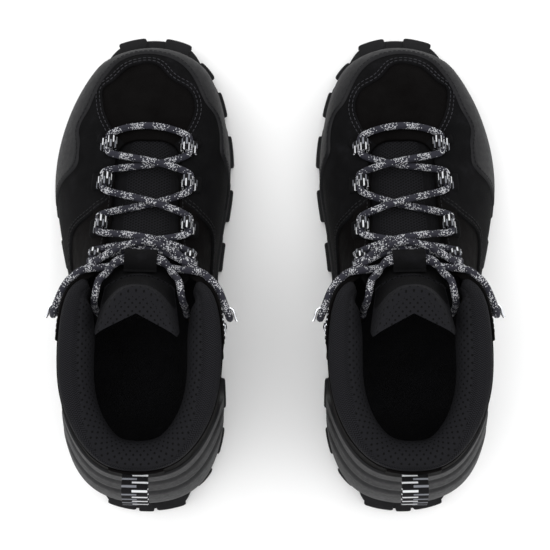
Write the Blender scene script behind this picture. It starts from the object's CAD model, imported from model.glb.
"""The finished look of a pair of mid-cut hiking boots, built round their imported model.

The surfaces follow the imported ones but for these, whose shapes or places differ from theirs: lace
loops 2 to 4, the lace and its ends, the tongue's flap, the collar's front ends, the pull loop, the
insole, the heel's wall and cup, and the bumpers at toe and heel.

Every surface is worked out in one boot's own axes, in millimetres: x across the boot towards the
outer side of the foot, y backwards from its middle, z up from the ground. It is then placed twice,
the second time mirrored. Panels of the upper share one surface, upper(t, v): t runs round the boot
in stations from the toe by the outer side, and v from the sole, 0, to the opening's edge, 1.
"""
import math

import bmesh
import bpy
import numpy as np
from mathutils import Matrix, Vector


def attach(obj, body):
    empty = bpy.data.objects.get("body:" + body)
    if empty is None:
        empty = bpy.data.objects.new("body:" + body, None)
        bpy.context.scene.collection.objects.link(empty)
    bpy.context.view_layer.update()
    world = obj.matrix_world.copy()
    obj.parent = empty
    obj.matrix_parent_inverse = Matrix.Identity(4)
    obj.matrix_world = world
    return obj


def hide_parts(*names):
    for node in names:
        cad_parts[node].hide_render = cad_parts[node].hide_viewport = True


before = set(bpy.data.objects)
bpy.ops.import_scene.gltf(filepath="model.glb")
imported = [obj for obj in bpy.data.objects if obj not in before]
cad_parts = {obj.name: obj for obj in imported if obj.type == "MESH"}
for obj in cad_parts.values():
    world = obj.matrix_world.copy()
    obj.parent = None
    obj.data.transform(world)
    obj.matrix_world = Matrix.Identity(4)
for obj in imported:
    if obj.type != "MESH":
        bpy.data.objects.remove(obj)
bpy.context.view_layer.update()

# ---- driving sizes, in millimetres ----

LAST_LENGTH = 278.9
LAST_WIDTH = 102.5
COLLAR_HEIGHT = 149
PAIR_SPACING = 155.5
TOE_IN = math.radians(1.3)
HEEL_STACK = 35
BALL_STACK = 24
TOE_SPRING = 13
HEEL_BEVEL = 3
LUG_HEIGHT = 4.5
OUTSOLE_SHEET = 3
MIDSOLE_FLARE = 2.8
OUTSOLE_MARGIN = 2.6
LUG_MARGIN = 5
HEEL_LUG_MARGIN = 12.6
TOE_LUG_MARGIN = 10.8
TOE_BUMPER = 6.4
HEEL_BUMPER = 7.6
GAP = 0.3
WALL = 2.2
BOARD = 2
FOOTBED = 5
INSIDE_WALL = 4.35
BOARD_BACK = -4.1
LINING_SPLIT = 0.03
FOOTBED_EASE = 2.8
LACE = 4.2
LACE_EASE = 0.6
WEBBING = 1.1
LOOP_WIDTH = 8
LOOP_LIFT = 0.35
HOOK = {"t": 8.42, "v": 0.86, "thickness": 1.4, "width": 7, "plate": 11, "finger": 5, "mouth": 5.6}
HOOK_LIFT = 0.6
ROWS = [(2.72, 0.93), (4.1, 0.945), (5.28, 0.965), (6.35, 0.985)]
KEEPER = {"from": 0.56, "to": 0.72, "width": 19, "wall": 1.4}
PULL = {"length": 24, "opening": 9, "droop": 9, "width": 15, "v": 0.97}

DRAWN_LENGTH, DRAWN_WIDTH, DRAWN_HEIGHT = 275, 102.5, 149
ALONG = LAST_LENGTH / DRAWN_LENGTH
ACROSS = LAST_WIDTH / DRAWN_WIDTH
UP = COLLAR_HEIGHT / DRAWN_HEIGHT
MIDDLE = 150 * ALONG
MM = 0.001
WELD = 3e-6
PRESSURE = 4
SIM_FRAMES = 20

# Stations round the boot: the foot line's u on each side and s, the edge's u on each side, s and z,
# and the rise, bulge, run and drop of the wall between them.
STATIONS = np.array([
    [0, 0, 286, 0, 0, 230, 70, 24, 1, 32, 4],
    [24, 22, 280.5, 7, 7, 230, 70, 24, 1, 30, 4],
    [38, 34.5, 267, 14, 14, 228, 70.5, 24, 1.5, 27, 4],
    [50, 42, 243, 19, 19, 221, 74, 24, 2, 24, 4],
    [57, 45.5, 211, 19.5, 19.5, 205, 83, 25, 2, 23, 5],
    [54.5, 42, 178, 20.5, 20.5, 184, 96, 28, 2, 21, 8],
    [48, 39, 147, 23.5, 23.5, 163, 112, 34, 1.5, 15, 14],
    [44, 40, 118, 28, 30, 151, 131, 38, 1.5, 8, 24],
    [43.5, 42, 92, 40, 43, 141, 146, 38, 2, 1, 32],
    [43.5, 43.5, 62, 45.5, 49, 112, 149, 38, 2, -2, 36],
    [38.5, 38.5, 36, 42, 45, 75, 145, 36, 2, 1, 36],
    [25, 25, 20, 24, 26, 46, 140, 35, 1, 5, 34],
    [0, 0, 14.5, 0, 0, 38.5, 138, 34, 0.6, 7, 34],
], float)
HEEL = len(STATIONS) - 1
TURN = 2 * HEEL
TONGUE = np.array([
    [238, 64.5, 14, 1],
    [221, 71.5, 22, 3],
    [205, 80.5, 23, 4],
    [184, 94, 24, 4.5],
    [166, 108.5, 24, 5],
    [156, 122, 22, 5.5],
    [150, 137, 20.5, 7],
    [146, 151, 21, 8],
    [143.5, 163, 19, 9],
], float)


# ---- curves and surfaces ----

def smooth(x, low, high):
    """Smoothstep: 3k^2 - 2k^3, with k the share of the way from low to high."""
    k = np.clip((np.asarray(x, float) - low) / (high - low), 0, 1)
    return k * k * (3 - 2 * k)


def mix(a, b, k):
    return a + (b - a) * k


def unit(v):
    return v / np.maximum(np.linalg.norm(v, axis=-1, keepdims=True), 1e-9)


def slopes(points, closed):
    """Slopes that make a cubic through the points smooth to the second derivative."""
    n = len(points)
    a = np.diag(np.full(n, 4.0))
    a += np.diag(np.ones(n - 1), 1) + np.diag(np.ones(n - 1), -1)
    b = 3 * (np.roll(points, -1, 0) - np.roll(points, 1, 0))
    if closed:
        a[0, -1] = a[-1, 0] = 1
    else:
        a[0, 0] = a[-1, -1] = 2
        b[0] = 3 * (points[1] - points[0])
        b[-1] = 3 * (points[-1] - points[-2])
    return np.linalg.solve(a, b)


def spline(points, closed=False):
    """A cubic through the points, one unit of its parameter from each to the next."""
    points = np.asarray(points, float)
    m = slopes(points, closed)
    n = len(points)

    def at(t):
        t = np.asarray(t, float)
        i = np.floor(t).astype(int)
        if not closed:
            i = np.clip(i, 0, n - 2)
        f = (t - i)[..., None]
        i0, i1 = i % n, (i + 1) % n
        return ((2 * f ** 3 - 3 * f ** 2 + 1) * points[i0] + (f ** 3 - 2 * f ** 2 + f) * m[i0]
                + (3 * f ** 2 - 2 * f ** 3) * points[i1] + (f ** 3 - f ** 2) * m[i1])
    return at


def ground_lift(s):
    """Height of the lug tips: a parabola up at the toe and another at the back of the heel."""
    toe = np.maximum(0, s / ALONG - 215) / 84
    heel = np.maximum(0, 14 - s / ALONG) / 14
    return TOE_SPRING * toe ** 2 + HEEL_BEVEL * heel ** 2


def sole_top(s):
    return ground_lift(s) + mix(HEEL_STACK, BALL_STACK, smooth(s / ALONG, 85, 195))


def sheet_top(s):
    return ground_lift(s) + LUG_HEIGHT + OUTSOLE_SHEET


def all_round(outer, inner):
    """Values at every station round the boot, the inner side's in reverse after the outer's."""
    return np.concatenate([outer, inner[1:HEEL][::-1]])


def ring_points(u_out, u_in, s, z):
    x = all_round(u_out, -u_in) * ACROSS
    y = MIDDLE - all_round(s, s) * ALONG
    return np.stack([x, y, all_round(z, z)], 1)


_foot_z = sole_top(STATIONS[:, 2] * ALONG)
foot_points = ring_points(STATIONS[:, 0], STATIONS[:, 1], STATIONS[:, 2], _foot_z)
edge_points = ring_points(STATIONS[:, 3], STATIONS[:, 4], STATIONS[:, 5], STATIONS[:, 6] * UP)
foot = spline(foot_points, True)
edge = spline(edge_points, True)


def outwards(t):
    """Unit vector out of the foot line in plan."""
    step = foot(np.asarray(t) + 0.02) - foot(np.asarray(t) - 0.02)
    return unit(np.stack([step[..., 1], -step[..., 0], np.zeros(step.shape[:-1])], -1))


def profile(points, out, up):
    shift = outwards(np.arange(TURN)) * all_round(out, out)[:, None]
    shift[:, 2] += all_round(up, up)
    return spline(points + shift, True)


rising = profile(foot_points, STATIONS[:, 8], STATIONS[:, 7])
arriving = profile(edge_points, STATIONS[:, 9], -STATIONS[:, 10])


def upper(t, v):
    """Bezier from the foot line to the opening's edge, with its two handles between."""
    t, v = np.broadcast_arrays(np.asarray(t, float), np.asarray(v, float))
    w = (1 - v)[..., None]
    k = v[..., None]
    return w ** 3 * foot(t) + 3 * k * w ** 2 * rising(t) + 3 * k ** 2 * w * arriving(t) + k ** 3 * edge(t)


def upper_normal(t, v):
    v = np.asarray(v, float)
    along = upper(np.asarray(t) + 0.01, v) - upper(np.asarray(t) - 0.01, v)
    rise = upper(t, np.minimum(1, v + 0.005)) - upper(t, np.maximum(0, v - 0.005))
    return unit(np.cross(along, rise))


def off_upper(t, v, out):
    t, v, out = np.broadcast_arrays(*(np.asarray(a, float) for a in (t, v, out)))
    return upper(t, v) + upper_normal(t, v) * out[..., None]


tongue_line = spline(np.stack([np.zeros(len(TONGUE)), MIDDLE - TONGUE[:, 0] * ALONG, TONGUE[:, 1] * UP], 1))
tongue_sizes = spline(TONGUE[:, 2:])


def tongue_axes(q):
    """Ridge point, direction along it and direction out of the tongue's front, at share q."""
    x = np.asarray(q, float) * (len(TONGUE) - 1)
    along = unit(tongue_line(x + 0.01) - tongue_line(x - 0.01))
    out = np.stack([np.zeros(x.shape), -along[..., 2], along[..., 1]], -1)
    return tongue_line(x), along, out


def tongue_point(q, w, depth=0.0):
    """Point of the tongue: q along, w across from -1 to 1, depth behind its front."""
    q, w, depth = np.broadcast_arrays(*(np.asarray(a, float) for a in (q, w, depth)))
    ridge, _, out = tongue_axes(q)
    half, fall = np.moveaxis(tongue_sizes(q * (len(TONGUE) - 1)), -1, 0)
    p = ridge - out * (fall * w ** 2 + depth)[..., None]
    p[..., 0] += w * half * ACROSS
    return p


# ---- meshes ----

class Build:
    """Collects grids of points into one mesh, with a UV in millimetres on every corner."""

    def __init__(self):
        self.points, self.corners, self.uvs, self.sizes, self.slots = [], [], [], [], []
        self.count = 0

    def add(self, points, *face_sets, uv=None, slot=0):
        """Points (n, 3) and sets of faces (m, k) on them, with uv (m, k, 2) for a single set's corners."""
        self.points.append(points)
        for faces in face_sets:
            self.corners.append((faces + self.count).ravel())
            self.sizes.append(np.full(len(faces), faces.shape[1]))
            self.slots.append(np.full(len(faces), slot))
            self.uvs.append(np.zeros((faces.size, 2)) if uv is None else uv.reshape(-1, 2))
        self.count += len(points)

    def grid(self, p, uv=None, wrap=(False, False), slot=0, flip=False):
        """A grid of points (rows, columns, 3). Rows x columns is the way out unless flipped."""
        r, c = p.shape[:2]
        i, j = np.meshgrid(np.arange(r - (not wrap[0])), np.arange(c - (not wrap[1])), indexing="ij")
        cell = np.stack([i, i + 1, i + 1, i], -1), np.stack([j, j, j + 1, j + 1], -1)
        faces = ((cell[0] % r) * c + cell[1] % c).reshape(-1, 4)
        if uv is None:
            uv = arc_uv(p, wrap)
        corner = uv[cell[0], cell[1]].reshape(-1, 4, 2)
        if flip:
            faces, corner = faces[:, ::-1], corner[:, ::-1]
        self.add(p.reshape(-1, 3), faces, uv=corner, slot=slot)

    def fan(self, ring, flip=False, slot=0):
        """A cap of triangles from a closed ring to its middle."""
        n = len(ring)
        points = np.vstack([ring, ring.mean(0)])
        k = np.arange(n)
        faces = np.stack([k, (k + 1) % n, np.full(n, n)], 1)
        if flip:
            faces = faces[:, ::-1]
        self.add(points, faces, uv=points[faces][..., :2], slot=slot)

    def arrays(self):
        return (np.concatenate(self.points), np.concatenate(self.corners), np.concatenate(self.sizes),
                np.concatenate(self.uvs), np.concatenate(self.slots))


def arc_uv(p, wrap=(False, False)):
    """UV of a grid: mean length run along its rows and along its columns."""
    def run(q, axis, closed):
        if closed:
            q = np.concatenate([q, np.take(q, [0], axis)], axis)
        step = np.linalg.norm(np.diff(q, axis=axis), axis=-1).mean(1 - axis)
        return np.concatenate([[0], np.cumsum(step)])
    a, b = run(p, 0, wrap[0]), run(p, 1, wrap[1])
    return np.stack(np.meshgrid(a, b, indexing="ij"), -1)


def placed(points, side):
    """From a boot's axes to the pair's, in metres. side is 1 for the left boot, -1 for the right."""
    c, s = math.cos(-TOE_IN), math.sin(-TOE_IN)
    x = points[:, 0] * c - points[:, 1] * s + PAIR_SPACING / 2
    y = points[:, 0] * s + points[:, 1] * c
    return np.stack([x * side, y, points[:, 2]], 1) * MM


def mesh_object(name, build, side, materials):
    points, corners, sizes, uvs, slots = build.arrays()
    starts = np.concatenate([[0], np.cumsum(sizes)[:-1]])
    mesh = bpy.data.meshes.new(name)
    mesh.vertices.add(len(points))
    mesh.vertices.foreach_set("co", placed(points, side).astype(np.float32).ravel())
    mesh.loops.add(len(corners))
    mesh.loops.foreach_set("vertex_index", corners.astype(np.int32))
    mesh.polygons.add(len(sizes))
    mesh.polygons.foreach_set("loop_start", starts.astype(np.int32))
    mesh.polygons.foreach_set("material_index", slots.astype(np.int32))
    mesh.uv_layers.new(name="UVMap").data.foreach_set("uv", uvs.astype(np.float32).ravel())
    mesh.update(calc_edges=True)
    mesh.validate()
    for material in materials:
        mesh.materials.append(material)
    obj = bpy.data.objects.new(name, mesh)
    bpy.context.scene.collection.objects.link(obj)
    return obj


def weld(mesh, sharp):
    """Joins the corners that lie on each other, drops the faces that leaves flat, turns every closed
    body's faces outwards, and shades smooth up to the sharp angle."""
    bm = bmesh.new()
    bm.from_mesh(mesh)
    bmesh.ops.remove_doubles(bm, verts=bm.verts, dist=WELD)
    bmesh.ops.dissolve_degenerate(bm, edges=bm.edges, dist=WELD)
    bmesh.ops.recalc_face_normals(bm, faces=bm.faces)
    bm.to_mesh(mesh)
    bm.free()
    mesh.polygons.foreach_set("use_smooth", np.ones(len(mesh.polygons), bool))
    mesh.set_sharp_from_angle(angle=math.radians(sharp))


def inflate(obj, sewn, most):
    """Settles a cover as cloth for twenty frames under a light pressure, its sewn points held.

    At this scale the pressure moves the cover by a fraction of a millimetre: the padded form itself
    is in the points that are passed in. It acts along the faces as they are wound, which is inwards
    on the right collar and the left flap. No point ends further than most millimetres from where it
    began. The result is written to the mesh, so no cloth is left on it.
    """
    mesh = obj.data
    start = np.empty(len(mesh.vertices) * 3, np.float32)
    mesh.vertices.foreach_get("co", start)
    group = obj.vertex_groups.new(name="sewn")
    group.add(np.flatnonzero(sewn).tolist(), 1.0, "REPLACE")
    cloth = obj.modifiers.new("padding", "CLOTH")
    cloth.settings.use_pressure = True
    cloth.settings.uniform_pressure_force = PRESSURE
    cloth.settings.vertex_group_mass = group.name
    cloth.settings.effector_weights.gravity = 0
    cloth.collision_settings.use_collision = False
    cloth.point_cache.frame_start, cloth.point_cache.frame_end = 1, SIM_FRAMES
    for at in range(1, SIM_FRAMES + 1):
        bpy.context.scene.frame_set(at)
    blown = obj.evaluated_get(bpy.context.evaluated_depsgraph_get()).data
    end = np.empty_like(start)
    blown.vertices.foreach_get("co", end)
    move = (end - start).reshape(-1, 3)
    far = np.linalg.norm(move, axis=1, keepdims=True)
    move *= np.minimum(1, most * MM / np.maximum(far, 1e-9))
    obj.modifiers.remove(cloth)
    obj.vertex_groups.remove(group)
    bpy.context.scene.frame_set(1)
    mesh.vertices.foreach_set("co", start + move.ravel())


def stops(length, fine, coarse, edge_width):
    """Places from 0 to length: close together within edge_width of both ends, wider between."""
    n = max(2, int(round(edge_width / fine)))
    ramp = np.linspace(0, edge_width, n + 1)
    middle = np.linspace(edge_width, length - edge_width, max(2, int((length - 2 * edge_width) / coarse)) + 1)
    return np.concatenate([ramp[:-1], middle, length - ramp[::-1][1:]])


def roll(d, radius):
    """Quarter-circle rounding: 0 at an edge, 1 beyond radius from it."""
    k = np.clip(d / radius, 0, 1)
    return np.sqrt(np.maximum(0, 1 - (1 - k) ** 2))


def panel(t0, t1, v0, v1, base, thickness, *, along=2.0, up=2.0, radius=1.0, relief=None, round_ends=True):
    """A panel lying on the upper from station t0 to t1 and from v0(t) to v1(t).

    Its back stands base out of the surface and its face thickness further, rolled over at the
    edges by roll(). relief(t, v) is added to the face.
    """
    def length(points):
        return np.linalg.norm(np.diff(points, axis=0), axis=-1).sum()
    tt = np.linspace(t0, t1, 60)
    vm = (v0(tt) + v1(tt)) / 2
    wide = length(upper(tt, vm))
    mid = (t0 + t1) / 2
    high = max(length(upper(np.full(30, t), np.linspace(v0(np.array(t)), v1(np.array(t)), 30)))
               for t in (t0 + 0.1, mid, t1 - 0.1))
    a = stops(wide, 0.35, along, radius)
    b = stops(high, 0.35, up, radius)
    walked = np.concatenate([[0], np.cumsum(np.linalg.norm(np.diff(upper(tt, vm), axis=0), axis=-1))])
    t = np.interp(a, walked, tt)[:, None] + 0 * b[None]
    lo, hi = v0(t), v1(t)
    v = lo + (hi - lo) * (b / high)[None]
    rise = roll(np.minimum(b, high - b), radius)[None] * np.ones_like(t)
    if round_ends:
        rise = rise * roll(np.minimum(a, wide - a), radius)[:, None]
    out = base + thickness * rise
    if relief is not None:
        out = out + relief(t, v) * rise
    face = off_upper(t, v, out)
    back = off_upper(t, v, base)
    uv = np.stack(np.broadcast_arrays(a[:, None], b[None]), -1)
    return face, back, uv, t, v


def tube(path, radius, sides):
    """A tube along points: each ring turned by the smallest turn from the last one.

    Returns rings (n, sides, 3) with a UV of length along and length round.
    """
    tangent = unit(np.gradient(path, axis=0))
    normal = np.zeros_like(path)
    start = np.cross(tangent[0], [0.3, 0.5, 0.8])
    normal[0] = start / np.linalg.norm(start)
    for i in range(1, len(path)):
        n = normal[i - 1] - tangent[i] * (normal[i - 1] @ tangent[i])
        normal[i] = n / np.linalg.norm(n)
    binormal = np.cross(tangent, normal)
    angle = np.linspace(0, 2 * math.pi, sides, endpoint=False)
    radius = np.broadcast_to(np.asarray(radius, float).reshape(-1, 1, 1), (len(path), 1, 1))
    rings = (path[:, None] + radius * (np.cos(angle)[None, :, None] * normal[:, None]
                                       + np.sin(angle)[None, :, None] * binormal[:, None]))
    walked = np.concatenate([[0], np.cumsum(np.linalg.norm(np.diff(path, axis=0), axis=-1))])
    around = np.linspace(0, 1, sides + 1)
    return rings, np.stack(np.meshgrid(walked, around, indexing="ij"), -1)


def add_tube(build, path, radius, sides):
    rings, uv = tube(path, radius, sides)
    build.grid(rings, uv, wrap=(False, True))
    build.fan(rings[0], flip=True)
    build.fan(rings[-1])


# ---- materials ----

def colour(hexa):
    """Linear colour of an sRGB hex value."""
    c = np.array([int(hexa[i:i + 2], 16) for i in (1, 3, 5)]) / 255
    linear = np.where(c <= 0.04045, c / 12.92, ((c + 0.055) / 1.055) ** 2.4)
    return (*linear, 1.0)


class Finish:
    """A material under construction: add() puts in a node with its settings and its links."""

    def __init__(self, name, base, roughness, **sockets):
        self.material = bpy.data.materials.new(name)
        self.material.use_nodes = True
        self.tree = self.material.node_tree
        self.shader = self.tree.nodes["Principled BSDF"]
        self.shader.inputs["Base Color"].default_value = colour(base)
        self.shader.inputs["Roughness"].default_value = roughness
        for key, value in sockets.items():
            self.shader.inputs[key.replace("_", " ")].default_value = value
        self.heights = []

    def add(self, kind, inputs=None, **settings):
        node = self.tree.nodes.new("ShaderNode" + kind)
        for key, value in settings.items():
            setattr(node, key, value)
        for key, value in (inputs or {}).items():
            if isinstance(value, bpy.types.NodeSocket):
                self.tree.links.new(value, node.inputs[key])
            else:
                node.inputs[key].default_value = value
        return node

    def maths(self, operation, *values):
        return self.add("Math", dict(enumerate(values)), operation=operation).outputs[0]

    def place(self, what="Object", scale=1.0, turn=0.0):
        source = self.add("TexCoord").outputs[what]
        scale = (scale,) * 3 if np.isscalar(scale) else scale
        return self.add("Mapping", {"Vector": source, "Scale": scale, "Rotation": (0, 0, turn)}).outputs[0]

    def noise(self, size_mm, detail=3.0, roughness=0.55, what="Object"):
        """Noise whose main features are size_mm apart."""
        per_metre = 1 / (size_mm * MM) if what == "Object" else 1 / size_mm
        return self.add("TexNoise", {"Vector": self.place(what), "Scale": per_metre, "Detail": detail,
                                     "Roughness": roughness}).outputs["Fac"]

    def cells(self, size_mm, feature="F1", what="Object"):
        per_metre = 1 / (size_mm * MM) if what == "Object" else 1 / size_mm
        return self.add("TexVoronoi", {"Vector": self.place(what), "Scale": per_metre},
                        feature=feature).outputs["Distance"]

    def ramp(self, value, *stops_):
        node = self.add("ValToRGB", {"Fac": value})
        ramp = node.color_ramp
        while len(ramp.elements) < len(stops_):
            ramp.elements.new(0.5)
        for element, (place, tone) in zip(ramp.elements, stops_):
            element.position = place
            element.color = colour(tone) if isinstance(tone, str) else (tone, tone, tone, 1)
        return node.outputs["Color"]

    def paint(self, value, *stops_):
        self.tree.links.new(self.ramp(value, *stops_), self.shader.inputs["Base Color"])

    def gloss(self, value, low, high):
        self.tree.links.new(self.ramp(value, (0.3, low), (0.7, high)), self.shader.inputs["Roughness"])

    def bump(self, value, height_mm, strength=1.0):
        """Stacks a bump of the given height on those before it."""
        inputs = {"Height": value, "Distance": height_mm * MM, "Strength": strength}
        if self.heights:
            inputs["Normal"] = self.heights[-1]
        self.heights.append(self.add("Bump", inputs).outputs["Normal"])
        self.tree.links.new(self.heights[-1], self.shader.inputs["Normal"])


def suede():
    """Sueded black cowhide, brushed: a short nap that goes dull and pale where it is rubbed."""
    f = Finish("suede_cowhide_brushed", "#0b0b0c", 0.95, Specular_IOR_Level=0.06)
    cloud = f.noise(14, 5, 0.65)
    f.paint(cloud, (0.3, "#070708"), (0.55, "#0b0b0c"), (0.75, "#131315"))
    f.bump(f.noise(0.9, 4, 0.7), 0.16)
    f.bump(f.noise(5, 3, 0.5), 0.25, 0.5)
    return f.material


def smooth_leather():
    """Full-grain leather, finished and lightly waxed: fine pebble grain and a soft satin shine."""
    f = Finish("full_grain_leather_waxed", "#080808", 0.8, Specular_IOR_Level=0.03)
    f.paint(f.noise(20, 4, 0.6), (0.3, "#060505"), (0.7, "#0b0a0a"))
    f.gloss(f.noise(6, 4, 0.6), 0.72, 0.86)
    f.bump(f.cells(1.3), 0.07)
    f.bump(f.noise(9, 4, 0.6), 0.3, 0.5)
    return f.material


def moulded_rand():
    """Moulded polyurethane: dark grey, smooth, with a fine spark-eroded texture."""
    f = Finish("polyurethane_moulded_satin", "#131315", 0.6, Specular_IOR_Level=0.15)
    f.paint(f.noise(25, 3, 0.5), (0.3, "#111113"), (0.7, "#161618"))
    f.gloss(f.noise(3, 4, 0.7), 0.52, 0.68)
    f.bump(f.noise(0.7, 2, 0.5), 0.03)
    return f.material


def outsole_rubber():
    """Black carbon rubber, compression moulded: dull, with dust caught in its pores."""
    f = Finish("carbon_rubber_moulded", "#161617", 0.8, Specular_IOR_Level=0.25)
    f.paint(f.noise(12, 5, 0.7), (0.3, "#121213"), (0.72, "#1e1e20"))
    f.bump(f.noise(1.0, 4, 0.65), 0.06)
    return f.material


def midsole_foam():
    """EVA foam, compression moulded: a fine pebbled skin, matte."""
    f = Finish("eva_foam_moulded", "#161618", 0.85, Specular_IOR_Level=0.2)
    f.paint(f.noise(30, 3, 0.5), (0.3, "#121214"), (0.7, "#1a1a1c"))
    f.bump(f.cells(1.1), 0.1)
    return f.material


def dots(f, pitch_u, pitch_v, radius, what="UV", stagger=True):
    """Round dots on the UV, in millimetres, every other row moved half a pitch: 1 inside a dot."""
    xyz = f.add("SeparateXYZ", {0: f.add("TexCoord").outputs[what]})
    row = f.maths("DIVIDE", xyz.outputs[1], pitch_v)
    odd = f.maths("MODULO", f.maths("FLOOR", row), 2.0)
    shift = f.maths("MULTIPLY", f.maths("ABSOLUTE", odd), 0.5 if stagger else 0.0)
    column = f.maths("ADD", f.maths("DIVIDE", xyz.outputs[0], pitch_u), shift)
    du = f.maths("MULTIPLY", f.maths("SUBTRACT", f.maths("FRACT", column), 0.5), pitch_u)
    dv = f.maths("MULTIPLY", f.maths("SUBTRACT", f.maths("FRACT", row), 0.5), pitch_v)
    far = f.maths("SQRT", f.maths("ADD", f.maths("MULTIPLY", du, du), f.maths("MULTIPLY", dv, dv)))
    return f.add("MapRange", {"Value": far, "From Min": radius * 0.75, "From Max": radius * 1.15,
                              "To Min": 1.0, "To Max": 0.0}).outputs[0]


def perforated_lining():
    """Microfibre lining, punched: a dull fine nap with staggered rows of small holes."""
    f = Finish("microfibre_lining_punched", "#121214", 0.85, Specular_IOR_Level=0.12)
    holes = dots(f, 4.4, 2.4, 0.6)
    f.paint(holes, (0.2, "#131316"), (0.8, "#010101"))
    f.bump(f.noise(0.6, 3, 0.6), 0.05)
    f.bump(f.maths("SUBTRACT", 1.0, holes), 0.5)
    return f.material


def spacer_mesh():
    """Polyester spacer knit: rows of open cells a little over a millimetre apart."""
    f = Finish("polyester_spacer_knit", "#121214", 0.85, Specular_IOR_Level=0.12)
    holes = dots(f, 2.1, 1.5, 0.6)
    f.paint(holes, (0.15, "#161619"), (0.85, "#030303"))
    f.bump(f.maths("SUBTRACT", 1.0, holes), 0.45)
    return f.material


def plain_weave():
    """Nylon plain weave, dull, for linings and gussets."""
    f = Finish("nylon_plain_weave", "#0d0d0f", 0.85, Specular_IOR_Level=0.12)
    f.bump(dots(f, 0.9, 0.9, 0.36), 0.15)
    f.bump(f.noise(4, 3, 0.6), 0.3, 0.6)
    return f.material


def chevron_knit():
    """Flat knit whose ribs zigzag, a rib every 1.3 mm round the collar."""
    f = Finish("nylon_chevron_knit", "#141416", 0.85, Specular_IOR_Level=0.12)
    xyz = f.add("SeparateXYZ", {0: f.add("TexCoord").outputs["UV"]})
    zig = f.maths("PINGPONG", xyz.outputs[1], 1.3)
    rib = f.maths("SINE", f.maths("MULTIPLY", f.maths("ADD", xyz.outputs[0], zig), 2 * math.pi / 1.3))
    rib = f.maths("MULTIPLY_ADD", rib, 0.5, 0.5)
    f.paint(rib, (0.2, "#050506"), (0.8, "#1e1e22"))
    f.bump(rib, 0.35)
    return f.material


def webbing(name, across, pitch, fill):
    """Polypropylene webbing, woven: ribs across it, and short picks in two lanes that overlap.

    The UV runs in millimetres along the strap and across it. One lane's picks are white, and the
    other's, half a pitch later, are grey.
    """
    f = Finish(name, "#101012", 0.8, Specular_IOR_Level=0.15)
    xyz = f.add("SeparateXYZ", {0: f.add("TexCoord").outputs["UV"]})
    run = f.maths("DIVIDE", xyz.outputs[0], pitch)
    white = f.maths("MULTIPLY", f.maths("LESS_THAN", f.maths("FRACT", run), fill),
                    f.maths("LESS_THAN", xyz.outputs[1], 0.6 * across))
    grey = f.maths("MULTIPLY", f.maths("LESS_THAN", f.maths("FRACT", f.maths("ADD", run, 0.5)), fill),
                   f.maths("GREATER_THAN", xyz.outputs[1], 0.42 * across))
    one = f.add("Mix", {0: grey, 6: colour("#0d0d0f"), 7: colour("#77797f")}, data_type="RGBA")
    two = f.add("Mix", {0: white, 6: one.outputs[2], 7: colour("#d6d7da")}, data_type="RGBA")
    f.tree.links.new(two.outputs[2], f.shader.inputs["Base Color"])
    rib = f.maths("SINE", f.maths("MULTIPLY", xyz.outputs[0], 2 * math.pi / 0.9))
    ply = f.maths("SINE", f.maths("MULTIPLY", xyz.outputs[1], 2 * math.pi / 1.1))
    f.bump(f.maths("MULTIPLY", rib, ply), 0.18)
    return f.material


def braided_lace():
    """Round polyester braid: charcoal yarns with white picks that come up in clusters.

    The UV runs in millimetres along the lace and once round it, so two families of strands
    wind opposite ways, sixteen to a turn.
    """
    f = Finish("polyester_braid_round", "#2c2c34", 0.75, Specular_IOR_Level=0.2)
    xyz = f.add("SeparateXYZ", {0: f.add("TexCoord").outputs["UV"]})
    along, around = xyz.outputs[0], xyz.outputs[1]
    pitch = 12.0
    one = f.maths("ADD", f.maths("DIVIDE", along, pitch), around)
    two = f.maths("SUBTRACT", f.maths("DIVIDE", along, pitch), around)
    a = f.maths("MULTIPLY", one, 16.0)
    b = f.maths("MULTIPLY", two, 16.0)
    over = f.maths("MULTIPLY", f.maths("ABSOLUTE", f.maths("SINE", f.maths("MULTIPLY", a, math.pi))),
                   f.maths("ABSOLUTE", f.maths("SINE", f.maths("MULTIPLY", b, math.pi))))
    cell = f.add("CombineXYZ", {0: f.maths("FLOOR", a), 1: f.maths("FLOOR", b)}).outputs[0]
    chance = f.add("TexWhiteNoise", {"Vector": cell}, noise_dimensions="3D").outputs["Value"]
    wave = f.maths("SINE", f.maths("MULTIPLY", along, 2 * math.pi / 14.0))
    cluster = f.maths("MULTIPLY_ADD", wave, 0.2, 0.21)
    white = f.maths("LESS_THAN", chance, cluster)
    tint = f.add("Mix", {0: white, 6: colour("#32323c"), 7: colour("#d4d5d9")}, data_type="RGBA")
    depth = f.ramp(over, (0.0, 0.35), (0.5, 1.0))
    shade = f.add("Mix", {0: depth, 6: (0.0, 0.0, 0.0, 1), 7: tint.outputs[2]}, data_type="RGBA")
    f.tree.links.new(shade.outputs[2], f.shader.inputs["Base Color"])
    f.bump(over, 0.3)
    return f.material


def polished_steel():
    """Nickel-plated steel, stamped and polished."""
    f = Finish("nickel_plated_steel_polished", "#d4d6da", 0.2, Metallic=1.0)
    f.gloss(f.noise(4, 4, 0.6), 0.14, 0.3)
    f.bump(f.noise(2.5, 2, 0.5), 0.02)
    return f.material


def thread(name, tone):
    """Bonded polyester thread, laid in lock stitches."""
    f = Finish(name, tone, 0.75, Specular_IOR_Level=0.2)
    f.bump(f.noise(0.4, 2, 0.5), 0.05)
    return f.material


def footbed_cloth():
    """Knit-faced foam insole: a fine flat knit, matte."""
    f = Finish("polyester_knit_on_foam", "#121214", 0.9, Specular_IOR_Level=0.15)
    f.paint(f.noise(22, 4, 0.6), (0.3, "#0e0e10"), (0.7, "#161618"))
    f.bump(dots(f, 1.6, 1.0, 0.45), 0.12)
    return f.material


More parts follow.
